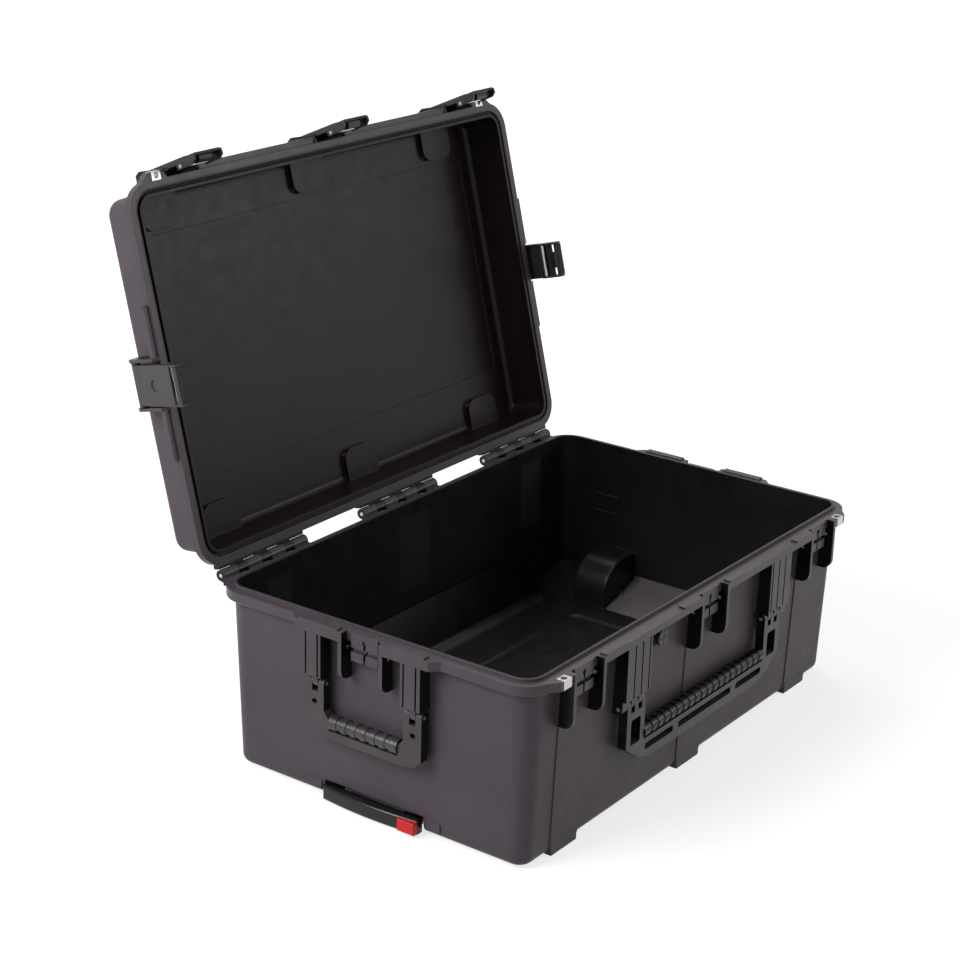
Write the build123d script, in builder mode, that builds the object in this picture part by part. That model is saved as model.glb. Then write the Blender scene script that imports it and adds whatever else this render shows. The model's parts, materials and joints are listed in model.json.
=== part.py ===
# Waterproof utility case with a hinged lid, five latches, three carry handles,
# a pull-out tow handle and two wheels.
# Millimetres, +Z up. The origin is the centre of the base on the surface it stands on.
# +X is the wheel end, -Y the latch side, +Y the hinge side.
from build123d import *
from math import atan2, cos, degrees, radians, sin
import os

os.makedirs("parts", exist_ok=True)

# Rim and parting plane
RIM_X = 395.0            # half length over the rims
RIM_Y = 248.0            # half width over the rims
RIM_R = 38.0             # plan radius of the rim corners
RIM_H = 15.0             # depth of the base rim band
RIM_EDGE_R = 4.0         # rounding below the base rim and above the lid rim
PART_Z = 253.0           # top of the base rim
LID_GAP = 0.3            # running gap between the two rims
LID_RIM_H = 10.0         # depth of the lid rim
SHELL_IN = 11.0          # how far the shell walls stand inside the rims

# Shell walls
WALL = 4.0
DRAFT_IN = 8.0           # how much the walls lean in from the rim to the far face
WALL_R = 28.0            # plan radius of the shell corners at the rim
FAR_EDGE_R = 12.0        # rounding where the walls meet the underside or the lid top
INNER_EDGE_R = 8.0       # rounding along the inner floor
STAND = 3.0              # feet and bay cover stand this far below the shell
FLOOR_Z = 30.0           # inner floor
FLOOR_SKIN = 4.0
LID_TOP_Z = 319.0        # lid top when closed
LID_PANEL_IN_X = 27.0    # margin of the raised lid panel at the ends
LID_PANEL_Y0 = -175.0    # front edge of the raised lid panel
LID_PANEL_Y1 = 151.0     # rear edge of the raised lid panel
LID_PANEL_H = 2.0

# Sealing tongue, groove and gasket
TONGUE_W = 3.5
TONGUE_H = 4.0
TONGUE_IN = 11.5         # from the rim edge to the outside of the tongue
GROOVE_GAP = 0.8         # side gap of the tongue in its groove
GROOVE_H = 7.5
GASKET_GAP = 0.4         # from the tongue to the gasket
GASKET_SIDE = 0.2
LID_LIP_W = 4.0          # inner lip of the lid, inside the groove

# Hinge
HINGE_OUT = 12.5         # hinge axis outside the rim edge
HINGE_UP = 1.0           # hinge axis above the parting plane
KNUCKLE_R = 7.5
HINGE_PIN_R = 2.5
PIN_FIT = 0.05           # radial fit of every pin in its hole
HINGE_LEN = 164.0
HINGE_PITCH = 286.0      # between the hinge groups
KNUCKLE_N = 7
KNUCKLE_BASE_W = 27.0    # the lid knuckles share the rest of a group
KNUCKLE_GAP = 0.4
OPEN_ANGLE = 104.0

# Latch stations
LATCH_PITCH = 292.0      # between the front latches
FIN_T = 5.5
POCKET_W = 58.0          # clear width between the pocket fins
FIN_OUT = 11.0           # fins and ledges stand this far outside the rim
FIN_H = 73.0
FIN_H_END = 65.0
FIN_R = 14.0
STRIKE_W = 42.0
STRIKE_OUT = 2.0
STRIKE_H = 34.0
BAR_Z = -22.5            # latch bar below the parting plane
BAR_IN = 1.5             # latch bar inside the rim edge
BAR_R = 2.5
BAR_GAP = 0.5
KEY_W = 3.0              # key slot down the middle of the strike
KEY_R = 3.5
KEY_Z = -10.0
TOOTH_H = 3.5            # lip below the strike that holds the trigger nose
TOOTH_T = 2.0

# Latch
LATCH_W = 53.0
LATCH_T = 4.0
LATCH_OUT = 9.0          # outer face outside the rim edge
LATCH_TOP = 50.5         # above the parting plane
LATCH_LOW = 35.0         # plate edge below the parting plane
CHEEK_T = 3.0
CHEEK_LOW = 50.0
CHEEK_DEEP = 9.0         # depth of the cheeks below the rim band
PIVOT_Z = 43.0           # latch pivot above the parting plane
PIVOT_OUT = 3.0          # latch pivot outside the rim edge
BARREL_R = 6.0
LATCH_PIN_R = 2.0
EAR_T = 4.0
EAR_CLEAR = 2.8          # between the latch and the lid ears
EAR_H = 52.0
EAR_GAP = 0.4            # end play of the latch barrel between the ears
LATCH_REST = 10.0        # rest angle, open from the locked position
DIMPLE_R = 7.5
DIMPLE_D = 1.2
TRIGGER_Z = -42.0
TRIGGER_OUT = 5.5        # trigger pivot outside the rim edge
TRIGGER_R = 3.2
TRUNNION_R = 1.8
TRIGGER_GAP = 0.4
NOSE_W = 24.0
NOSE_T = 3.0
NOSE_GAP = 0.7           # trigger nose to the strike lip

# Carry handles
HANDLE_IN = 2.5          # handle pivot inside the rim edge
HANDLE_T = 13.0
HANDLE_PIN_R = 2.5
HANDLE_GAP = 0.4         # between neighbouring handle knuckles
SLOT_H = 5.0             # from a knuckle to the tower or frame edge it faces
ROD_R = 6.0
GRIP_FIT = 0.05
LEDGE_H = 9.0

# Tow handle
BAY_Y = 92.0             # half width of the tow bay under the floor
BAY_X0 = -344.0
BAY_X1 = 285.0
RECESS_Y = 79.0
RECESS_X = -348.0
RECESS_TOP = 26.0
TUBE_Y = 62.0
TUBE_Z = 14.0
TUBE_W = 20.0
TUBE_H = 14.0
TUBE_T = 1.2
TUBE_X1 = 186.0
SLIDE_GAP = 0.3
INNER_T = 1.2
INNER_X1 = 150.0
GRIP_FACE = -392.0
GRIP_BOW = 5.0
GRIP_BACK = -374.0
GRIP_Y = 75.0
GRIP_Z0 = 2.5
GRIP_Z1 = 23.0
SOCKET_D = 7.0
BUTTON_Y = -63.0
BUTTON_W = 26.0
BUTTON_H = 16.0
BUTTON_OUT = 5.0
BUTTON_STROKE = 2.5
COVER_LAP = 4.0

# Wheels
WELL_Y = 123.5
WELL_W = 50.0
WELL_X = 341.0
WELL_Z = 52.0
WELL_R = 42.0
WELL_WALL = 3.8
WHEEL_Z = 42.0
WHEEL_R = 38.0
TYRE_W = 30.0
TYRE_T = 7.0
HUB_R = 12.0
AXLE_R = 4.0
BUSH_R = 6.5
WHEEL_SIDE = 0.5

# Pressure valve
VALVE_X = -103.0
VALVE_Z = 219.5
VALVE_R = 13.0
VALVE_STEM_R = 7.0

# Padlock inserts
LOCK_X = 340.0
LOCK_OUT = 4.7
LOCK_W = 16.0
LOCK_D = 12.0
LOCK_HOLE_R = 4.0
EAR_OUT = 10.0

# Feet and bands
BAND_W = 60.0
BAND_OUT = 1.5
FOOT_W = 55.0
FOOT_OUT = 2.0
FOOT_L = 44.0
FOOT_R = 3.0
NEST_GAP = 1.5           # play of the feet in the lid recesses
NEST_D = 7.0

SHELL_X = RIM_X - SHELL_IN
SHELL_Y = RIM_Y - SHELL_IN
FAR_X = SHELL_X - DRAFT_IN
FAR_Y = SHELL_Y - DRAFT_IN
RIM_UNDER = PART_Z - RIM_H
HINGE_Y = RIM_Y + HINGE_OUT
HINGE_Z = PART_Z + HINGE_UP
LID_Z = PART_Z + LID_GAP
LID_RIM_TOP = LID_Z + LID_RIM_H
LATCH_X = (-LATCH_PITCH, 0.0, LATCH_PITCH)
HINGE_X = (-HINGE_PITCH, 0.0, HINGE_PITCH)

# Stations on the walls: outward is -Y, Z is zero at the parting plane
FRONT = [Location((x, -RIM_Y, PART_Z)) for x in LATCH_X]
END_LEFT = Location((-RIM_X, 0, PART_Z), (0, 0, -90))
END_RIGHT = Location((RIM_X, 0, PART_Z), (0, 0, 90))
FRONT_MID = Location((0, -RIM_Y, PART_Z))


def wall_half(full, z):
    """Half size of the base wall at height z, for the half size at the rim."""
    return full - DRAFT_IN * (RIM_UNDER - z) / (RIM_UNDER - STAND)


def profile(points, plane):
    """A closed face through the points on the plane."""
    with BuildSketch(plane) as sk:
        with BuildLine():
            Polyline(*points, close=True)
        make_face()
    return sk.sketch


def slab(points, x0, x1, mode=Mode.ADD):
    """A plate with a Y-Z outline between two X positions."""
    extrude(profile(points, Plane.YZ.offset(x0)), amount=x1 - x0, mode=mode)


def block(x0, x1, y0, y1, z0, z1, mode=Mode.ADD):
    """A box between six planes."""
    with Locations(((x0 + x1) / 2, (y0 + y1) / 2, (z0 + z1) / 2)):
        Box(x1 - x0, y1 - y0, z1 - z0, mode=mode)


def rod_x(x0, x1, y, z, r, mode=Mode.ADD):
    """A cylinder along X."""
    with Locations(Location(((x0 + x1) / 2, y, z), (0, 90, 0))):
        Cylinder(r, x1 - x0, mode=mode)


def ring_slab(hx, hy, r, z0, z1, mode=Mode.ADD):
    """A rounded rectangle between two heights."""
    with BuildSketch(Plane.XY.offset(z0)) as sk:
        RectangleRounded(2 * hx, 2 * hy, r)
    extrude(sk.sketch, amount=z1 - z0, mode=mode)


def drafted(hx, hy, r, z_mouth, z_far, lean, mode=Mode.ADD):
    """A rounded box whose walls lean in from its mouth to its far end."""
    height = abs(z_far - z_mouth)
    with BuildSketch(Plane.XY.offset(z_mouth)) as mouth:
        RectangleRounded(2 * hx, 2 * hy, r)
    extrude(mouth.sketch, amount=height, dir=(0, 0, 1 if z_far > z_mouth else -1),
            taper=degrees(atan2(lean, height)), mode=mode)


def knuckle_spans():
    """X spans of the base and the lid knuckles about a group centre."""
    n_base = (KNUCKLE_N + 1) // 2
    free = HINGE_LEN - n_base * KNUCKLE_BASE_W - (KNUCKLE_N - 1) * KNUCKLE_GAP
    widths = (KNUCKLE_BASE_W, free / (KNUCKLE_N - n_base))
    spans = ([], [])
    x = -HINGE_LEN / 2
    for i in range(KNUCKLE_N):
        spans[i % 2].append((x, x + widths[i % 2]))
        x += widths[i % 2] + KNUCKLE_GAP
    return spans


def knuckles(spans, arm, web, hole_r):
    """Hinge knuckles with the arms and the web that tie them to a rim."""
    with BuildPart() as made:
        for centre in HINGE_X:
            for x0, x1 in spans:
                slab(arm, centre + x0, centre + x1)
                rod_x(centre + x0, centre + x1, HINGE_Y, HINGE_Z, KNUCKLE_R)
            block(centre - HINGE_LEN / 2, centre + HINGE_LEN / 2, RIM_Y - ARM_ROOT, *web)
        for centre in HINGE_X:
            rod_x(centre - HINGE_LEN, centre + HINGE_LEN, HINGE_Y, HINGE_Z, hole_r, Mode.SUBTRACT)
    return made.part


BASE_SPANS, LID_SPANS = knuckle_spans()
HINGE_HOLE_R = HINGE_PIN_R + PIN_FIT
ARM_ROOT = 4.0           # how deep the arms run into the rims
base_knuckles = knuckles(
    BASE_SPANS,
    [
        (RIM_Y - ARM_ROOT, RIM_UNDER + RIM_EDGE_R),
        (RIM_Y - ARM_ROOT, PART_Z - 0.5),
        (HINGE_Y - KNUCKLE_R + 2.0, PART_Z - 0.5),
        (HINGE_Y, HINGE_Z),
        (HINGE_Y, HINGE_Z - KNUCKLE_R),
    ],
    (HINGE_Y - 4.5, RIM_UNDER + RIM_EDGE_R, HINGE_Z - KNUCKLE_R - 1.0),
    HINGE_HOLE_R,
)
lid_knuckles = knuckles(
    LID_SPANS,
    [
        (RIM_Y - ARM_ROOT, LID_Z + 0.5),
        (RIM_Y - ARM_ROOT, LID_RIM_TOP - 0.5),
        (RIM_Y, LID_RIM_TOP - 0.5),
        (HINGE_Y, HINGE_Z + KNUCKLE_R),
        (HINGE_Y, HINGE_Z),
        (HINGE_Y - KNUCKLE_R + 2.0, LID_Z + 0.5),
    ],
    (HINGE_Y - KNUCKLE_R - 0.8, LID_Z, LID_RIM_TOP),
    HINGE_HOLE_R,
)


def pocket(fin_h):
    """Two guard fins and the hooked strike of one latch station, outward -Y."""
    half = POCKET_W / 2
    root = SHELL_IN + DRAFT_IN
    with BuildPart() as made:
        with BuildSketch(Plane.YZ.offset(half)) as fin:
            with Locations(((root - FIN_OUT) / 2, -fin_h / 2)):
                Rectangle(root + FIN_OUT, fin_h)
            corner = fin.vertices().sort_by(Axis.Y)[:2].sort_by(Axis.X)[0]
            fillet(corner, FIN_R)
        extrude(fin.sketch, amount=FIN_T)
        extrude(fin.sketch.moved(Location((-POCKET_W - FIN_T, 0, 0))), amount=FIN_T)
        strike = [
            (root, 0.0),
            (-STRIKE_OUT, 0.0),
            (-STRIKE_OUT, -STRIKE_H - TOOTH_H),
            (-STRIKE_OUT + TOOTH_T, -STRIKE_H - TOOTH_H),
            (-STRIKE_OUT + TOOTH_T, -STRIKE_H),
            (SHELL_IN / 2, -STRIKE_H),
            (root, -STRIKE_H - SHELL_IN / 2),
        ]
        slab(strike, -STRIKE_W / 2, STRIKE_W / 2)
        seat_r = BAR_R + BAR_GAP
        rod_x(-STRIKE_W, STRIKE_W, BAR_IN, BAR_Z, seat_r, Mode.SUBTRACT)
        with Locations((0, BAR_IN - FIN_OUT / 2, BAR_Z)):
            Box(STRIKE_W + 1.0, FIN_OUT, 2 * seat_r, mode=Mode.SUBTRACT)
        block(-KEY_W / 2, KEY_W / 2, -STRIKE_OUT - 1, SHELL_IN / 2, -STRIKE_H - TOOTH_H - 1, KEY_Z, Mode.SUBTRACT)
        with Locations(Location((0, 0, KEY_Z), (90, 0, 0))):
            Cylinder(KEY_R, SHELL_IN, mode=Mode.SUBTRACT)
    return made.part


# Front carry handle: widths of the towers and the frame, heights from the parting plane
FRONT_TOWER = (150.0, 205.0)
FRONT_ARM = (151.0, 192.0)
FRONT_OUT = 9.0
FRONT_PIVOT = -95.0
FRONT_TEETH = 5
FRONT_GRIP_Z = -145.0
FRONT_GRIP_R = 9.0
FRONT_SEAT = -154.6      # edge of the frame below the grip
FRONT_LOWER = ((192.0, -154.0), (162.0, -175.0), (133.0, -183.0))
FRONT_HOLE = ((151.0, FRONT_SEAT),)
FRONT_WINDOW_Z = (-171.0, -161.5)
FRONT_WINDOWS = ((-147.0, -79.5), (-66.5, 66.5), (79.5, 147.0))
FRONT_SLOT = ((160.5, 182.5), (-152.0, -117.0))
# End carry handles
END_TOWER = (62.0, 92.0)
END_ARM = (62.5, 90.0)
END_OUT = 11.0
END_PIVOT = -83.0
END_TEETH = 3
END_GRIP_Z = -132.5
END_GRIP_R = 10.0
END_SEAT = -143.0
END_LOWER = ((90.0, -141.0), (79.0, -151.0), (62.0, -154.0))
END_HOLE = ((54.0, END_SEAT), (54.0, END_GRIP_Z + 4.0), (62.5, END_GRIP_Z + 14.0))
END_SLOT = ((73.0, 81.0), (-112.0, -105.0))
GROOVE_W = 2.5
GROOVE_D = 2.5


def handle_spans(tower, arm, count):
    """X spans of the tower knuckles and the arm knuckles of one side."""
    base, moving = [], []
    pitch = (arm[1] - arm[0] + HANDLE_GAP) / count
    for i in range(count):
        x = arm[0] + i * pitch
        (moving if i % 2 == 0 else base).append((x, x + pitch - HANDLE_GAP))
    if tower[1] - arm[1] > 4.0:
        base.append((arm[1] + HANDLE_GAP, tower[1]))
    return base, moving


def tower(spec, arm, count, face, pivot_z):
    """One handle tower with its knuckles, outward -Y, on the +X side."""
    base, moving = handle_spans(spec, arm, count)
    root = SHELL_IN + DRAFT_IN
    pivot_y = HANDLE_IN
    r = HANDLE_T / 2
    low = pivot_z + r + SLOT_H
    with BuildPart() as made:
        block(spec[0], spec[1], -face, root, low, 0)
        for x0, x1 in moving:
            x = (x0 + x1) / 2
            block(x - GROOVE_W / 2, x + GROOVE_W / 2, -face - 1, -face + GROOVE_D, low - 1, -LEDGE_H, Mode.SUBTRACT)
        for x0, x1 in base:
            block(x0, x1, pivot_y - r, root, pivot_z, low)
            rod_x(x0, x1, pivot_y, pivot_z, r)
            block(x0, x1, pivot_y, root, pivot_z - r, pivot_z)
        rod_x(spec[0] - 1, spec[1] + 1, pivot_y, pivot_z, HANDLE_PIN_R + PIN_FIT, Mode.SUBTRACT)
    return made.part


def towers(spec, arm, count, face, pivot_z):
    """Both towers of a handle."""
    one = tower(spec, arm, count, face, pivot_z)
    return one + one.mirror(Plane.YZ)


# Base shell: the space inside
CAVITY_TOP = PART_Z + TONGUE_H + 1.0
RAMP_RISE = 26.0         # rise of the wheel end ramp to the end wall
RAIL_Y = 184.0           # where the coved rails start
RAIL_H = 70.0
RAIL_X1 = 273.0
PANEL_X = (-356.0, 256.0)
PANEL_Y = 124.0
PANEL_D = 2.5
HUMP_EDGE_R = 4.0
hump_r = WELL_R + WELL_WALL


def arch(y, width, r):
    """An arched block round a wheel, open towards +X, centred on y."""
    with BuildSketch(Plane.XZ.offset(-y - width / 2)) as sk:
        with Locations((WELL_X, WELL_Z)):
            Circle(r)
        with Locations((WELL_X, WELL_Z / 2)):
            Rectangle(2 * r, WELL_Z)
        with Locations((WELL_X + WELL_R, (WELL_Z + r) / 2)):
            Rectangle(2 * WELL_R, WELL_Z + r)
    extrude(sk.sketch, amount=width)


def hump(y):
    """The rounded cover over one wheel well, inside the case."""
    with BuildPart() as made:
        arch(y, WELL_W + 2 * WELL_WALL, hump_r)
        rims = made.edges().filter_by(
            lambda e: abs(e.tangent_at(0.5).Y) < 0.5 and e.center().Z > 10 and e.center().X < WELL_X + WELL_R + hump_r - 10
        )
        fillet(rims, HUMP_EDGE_R)
    return made.part


with BuildPart() as solid_inside:
    # wheel end ramp
    ramp_x0 = WELL_X - hump_r
    with BuildSketch(Plane.XZ.offset(-SHELL_Y)) as ramp:
        with BuildLine():
            Polyline((ramp_x0, FLOOR_Z - 1), (ramp_x0, FLOOR_Z), (SHELL_X, FLOOR_Z + RAMP_RISE),
                     (SHELL_X, FLOOR_Z - 1), close=True)
        make_face()
    extrude(ramp.sketch, amount=2 * SHELL_Y)
    # humps over the wheel wells
    for side in (-1, 1):
        add(hump(side * WELL_Y))
    # coved rails along the long walls
    with BuildSketch(Plane.YZ.offset(-SHELL_X)) as cove:
        with BuildLine():
            foot_line = Polyline((SHELL_Y, FLOOR_Z - 1), (RAIL_Y, FLOOR_Z - 1), (RAIL_Y, FLOOR_Z))
            arc = ThreePointArc(foot_line @ 1, (RAIL_Y + 9.5, FLOOR_Z + 4.0), (RAIL_Y + 16.0, FLOOR_Z + 12.0))
            Polyline(arc @ 1, (FAR_Y, FLOOR_Z + RAIL_H), (SHELL_Y, FLOOR_Z + RAIL_H), foot_line @ 0)
        make_face()
        mirror(about=Plane.YZ)
    extrude(cove.sketch, amount=SHELL_X + RAIL_X1)

with BuildPart() as base_cavity:
    drafted(SHELL_X - WALL, SHELL_Y - WALL, WALL_R - WALL, CAVITY_TOP, FLOOR_Z,
            SHELL_X - wall_half(SHELL_X, FLOOR_Z))
    add(solid_inside.part, mode=Mode.SUBTRACT)
    # sunk centre panel of the floor
    with BuildSketch(Plane.XY.offset(FLOOR_Z - PANEL_D)) as panel:
        with Locations((sum(PANEL_X) / 2, 0)):
            RectangleRounded(PANEL_X[1] - PANEL_X[0] - 2 * PANEL_D, 2 * (PANEL_Y - PANEL_D), 14.0)
    extrude(panel.sketch, amount=PANEL_D + 0.5, taper=-45)

# Base shell: pockets, ledges, towers, bands and feet outside the walls
FIN_INNER = POCKET_W / 2 + 1.0
END_LEDGE_H = 13.0
END_LEDGE_Y = (103.0, 116.0)
LOCK_EAR_T = 12.0
PAD_H = 2.5
PAD_CLEAR = 0.5          # from the pads to the lid rim that comes down beside them
BOSS_Y = 94.0
BOSS_OUT = 2.0
with BuildPart() as base_fittings:
    for loc in FRONT:
        add(pocket(FIN_H).moved(loc))
    for loc in (END_LEFT, END_RIGHT):
        add(pocket(FIN_H_END).moved(loc))
        add(towers(END_TOWER, END_ARM, END_TEETH, END_OUT, END_PIVOT).moved(loc))
    add(towers(FRONT_TOWER, FRONT_ARM, FRONT_TEETH, FRONT_OUT, FRONT_PIVOT).moved(FRONT_MID))
    # ledges between the pockets
    ledge_len = LATCH_PITCH - 2 * FIN_INNER
    with Locations(*[(side * LATCH_PITCH / 2, -RIM_Y - FIN_OUT / 2 + 1.0, PART_Z - LEDGE_H / 2)
                     for side in (-1, 1)]):
        Box(ledge_len, FIN_OUT + 2.0, LEDGE_H)
    with BuildSketch(Plane.XY.offset(PART_Z - END_LEDGE_H)) as end_ledge:
        with BuildLine():
            Polyline((RIM_X - 2, FIN_INNER), (RIM_X + FIN_OUT, FIN_INNER),
                     (RIM_X + FIN_OUT, END_LEDGE_Y[0]), (RIM_X - 2, END_LEDGE_Y[1]), close=True)
        make_face()
        mirror(about=Plane.XZ)
        mirror(about=Plane.YZ)
    extrude(end_ledge.sketch, amount=END_LEDGE_H)
    # pad bars on the ledges
    pad_out = (FIN_OUT + PAD_CLEAR) / 2
    pad_w = FIN_OUT - PAD_CLEAR
    with Locations(*[(side * x, -RIM_Y - pad_out, PART_Z) for side in (-1, 1) for x in (56.0, 236.0)]):
        Box(44.0, pad_w, 2 * PAD_H)
    with Locations(*[(side * (RIM_X + pad_out), end * 66.5, PART_Z) for side in (-1, 1) for end in (-1, 1)]):
        Box(pad_w, 61.0, 2 * PAD_H)
    # small bosses beside the tow grip
    with Locations(*[(-wall_half(SHELL_X, TUBE_Z) + 1.5, side * BOSS_Y, TUBE_Z + STAND) for side in (-1, 1)]):
        Box(BOSS_OUT * 2 + 3.0, 22.0, 12.0)
    # padlock ears
    with BuildSketch(Plane.XY.offset(PART_Z - LOCK_EAR_T)) as ear:
        with BuildLine():
            Polyline((LOCK_X - 22, -RIM_Y + 4), (LOCK_X - 12, -RIM_Y - EAR_OUT),
                     (LOCK_X + 13, -RIM_Y - EAR_OUT), (RIM_X - 12, -RIM_Y + 14),
                     (RIM_X - 30, -RIM_Y + 20), close=True)
        make_face()
        mirror(about=Plane.YZ)
    extrude(ear.sketch, amount=LOCK_EAR_T)

with BuildPart() as base_bands:
    # vertical bands and feet below the latch stations, front and back
    foot_y = FAR_Y + FOOT_OUT
    for x in LATCH_X:
        with BuildSketch(Plane.YZ.offset(x - BAND_W / 2)) as band:
            with BuildLine():
                Polyline((FAR_Y - 20, STAND + 6), (FAR_Y + BAND_OUT, STAND + 6),
                         (SHELL_Y + BAND_OUT, RIM_UNDER + 1), (FAR_Y - 20, RIM_UNDER + 1), close=True)
            make_face()
            mirror(about=Plane.YZ)
        extrude(band.sketch, amount=BAND_W)
        with BuildSketch(Plane.YZ.offset(x - FOOT_W / 2)) as foot:
            with BuildLine():
                Polyline((foot_y, 0), (foot_y, STAND + 14), (FAR_Y - 8, STAND + 14),
                         (foot_y - FOOT_L, STAND + 1), (foot_y - FOOT_L, 0), close=True)
            make_face()
            fillet(foot.vertices().sort_by(Axis.Y)[:1] + foot.vertices().sort_by(Axis.X)[:1], FOOT_R / 2)
            mirror(about=Plane.YZ)
        extrude(foot.sketch, amount=FOOT_W)

# Base shell: everything that is cut from outside and below
BAY_TOP = FLOOR_Z - FLOOR_SKIN
POCKETS_X = 8
POCKET_PITCH = 79.0
RIB_T = 4.0
POCKET_Y = 54.0
SADDLE_X = (-300.0, -60.0, 160.0)
SADDLE_T = 8.0
SCREW_R = 1.9
SCREW_HEAD_R = 3.8
SCREW_L = 9.0
SCREW_HEAD_H = 1.8
SCREW_Y = 30.0
SCREWS = [(x, side * SCREW_Y, 0) for x in SADDLE_X for side in (-1, 1)]
VALVE_SEAT_Y = wall_half(SHELL_Y, VALVE_Z) - 0.6
with BuildPart() as base_cuts:
    # tow bay, grip recess and the tube holes between them
    with Locations(((BAY_X0 + BAY_X1) / 2, 0, BAY_TOP / 2)):
        Box(BAY_X1 - BAY_X0, 2 * BAY_Y, BAY_TOP)
    for x in SADDLE_X:
        with Locations((x, 0, BAY_TOP / 2 + STAND)):
            Box(SADDLE_T, 2 * BAY_Y + 2, BAY_TOP, mode=Mode.SUBTRACT)
    with Locations(((RECESS_X - SHELL_X - 20) / 2, 0, RECESS_TOP / 2)):
        Box(RECESS_X + SHELL_X + 20, 2 * RECESS_Y, RECESS_TOP)
    tube_cut = SADDLE_X[-1] + SADDLE_T
    with Locations(*[((RECESS_X - 1 + tube_cut) / 2, side * TUBE_Y, TUBE_Z) for side in (-1, 1)]):
        Box(tube_cut - RECESS_X + 1, TUBE_W, TUBE_H)
    # rib pockets under the side margins
    first_x = BAY_X0 - 14.0 + (POCKET_PITCH - RIB_T) / 2
    rows = [side * (BAY_Y + RIB_T + (row + 0.5) * POCKET_Y + row * RIB_T)
            for side in (-1, 1) for row in (0, 1)]
    with Locations(*[(first_x + i * POCKET_PITCH, y, BAY_TOP / 2) for i in range(POCKETS_X) for y in rows]):
        Box(POCKET_PITCH - RIB_T, POCKET_Y, BAY_TOP)
    # wheel wells and axle holes
    for side in (-1, 1):
        arch(side * WELL_Y, WELL_W, WELL_R)
    with Locations(*[Location((WELL_X, side * WELL_Y, WHEEL_Z), (90, 0, 0)) for side in (-1, 1)]):
        Cylinder(AXLE_R + PIN_FIT, WELL_W + 4 * WELL_WALL)
    # padlock insert seats
    with Locations(*[(side * LOCK_X, -RIM_Y - LOCK_OUT, PART_Z) for side in (-1, 1)]):
        Box(LOCK_W, LOCK_D, 2 * LOCK_EAR_T + 2)
    # valve hole and its flat seat
    with Locations(Location((VALVE_X, -SHELL_Y, VALVE_Z), (90, 0, 0))):
        Cylinder(VALVE_STEM_R + GRIP_FIT, 8 * WALL)
    with Locations(Location((VALVE_X, -VALVE_SEAT_Y - WALL, VALVE_Z), (90, 0, 0))):
        Cylinder(VALVE_R + GRIP_FIT, 2 * WALL)
    # cover screw holes in the saddles
    with Locations(*SCREWS):
        Cylinder(SCREW_R + PIN_FIT, 2 * (SCREW_L + 1.0))

with BuildPart() as base_shell:
    drafted(SHELL_X, SHELL_Y, WALL_R, RIM_UNDER, STAND, DRAFT_IN)
    fillet(base_shell.faces().sort_by(Axis.Z)[0].edges(), FAR_EDGE_R)
    ring_slab(RIM_X, RIM_Y, RIM_R, RIM_UNDER, PART_Z)
    fillet(base_shell.edges().filter_by_position(Axis.Z, RIM_UNDER - 0.01, RIM_UNDER + 0.01)
           .filter_by(lambda e: max(abs(e.center().X) / RIM_X, abs(e.center().Y) / RIM_Y) > 0.985
                      or abs(e.center().X) / RIM_X + abs(e.center().Y) / RIM_Y > 1.9), RIM_EDGE_R)
    ring_slab(RIM_X - TONGUE_IN, RIM_Y - TONGUE_IN, WALL_R - 1.0, PART_Z, PART_Z + TONGUE_H)
    add(base_bands.part)
    add(base_fittings.part)
    add(base_knuckles)
    add(base_cavity.part, mode=Mode.SUBTRACT)
    add(base_cuts.part, mode=Mode.SUBTRACT)
base_shell.part.label = "base_shell"
export_step(base_shell.part, "parts/base_shell.step")
# Lid, drawn closed on the base and turned open at the end
LID_OPEN = (
    Location((0, HINGE_Y, HINGE_Z)) * Location((0, 0, 0), (-OPEN_ANGLE, 0, 0))
    * Location((0, -HINGE_Y, -HINGE_Z))
)
MOUTH_IN = TONGUE_IN + TONGUE_W + GROOVE_GAP + LID_LIP_W
NEST_W = FOOT_W + 2 * NEST_GAP
NEST_Y = FAR_Y + FOOT_OUT - FOOT_L - NEST_GAP
NEST_R = 12.0
RAIL_OUT = 8.0
RAIL_Z = LID_Z + PAD_H + 1.0
GUSSET_T = 2.5
GUSSET_H = 20.0
LID_WALL_TOP = LID_TOP_Z - WALL


def nest(width, y_end, r, z0, z1, mode=Mode.ADD):
    """U-shaped blocks at the six stacking stations between two heights."""
    with BuildSketch(Plane.XY.offset(z0)) as sk:
        for x in LATCH_X:
            with BuildLine():
                outline = Polyline((x - width / 2, SHELL_Y + 4), (x - width / 2, y_end),
                                   (x + width / 2, y_end), (x + width / 2, SHELL_Y + 4), close=True)
            make_face()
        fillet(sk.vertices().group_by(Axis.Y)[0], r)
        mirror(about=Plane.XZ)
    extrude(sk.sketch, amount=z1 - z0, mode=mode)


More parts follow.
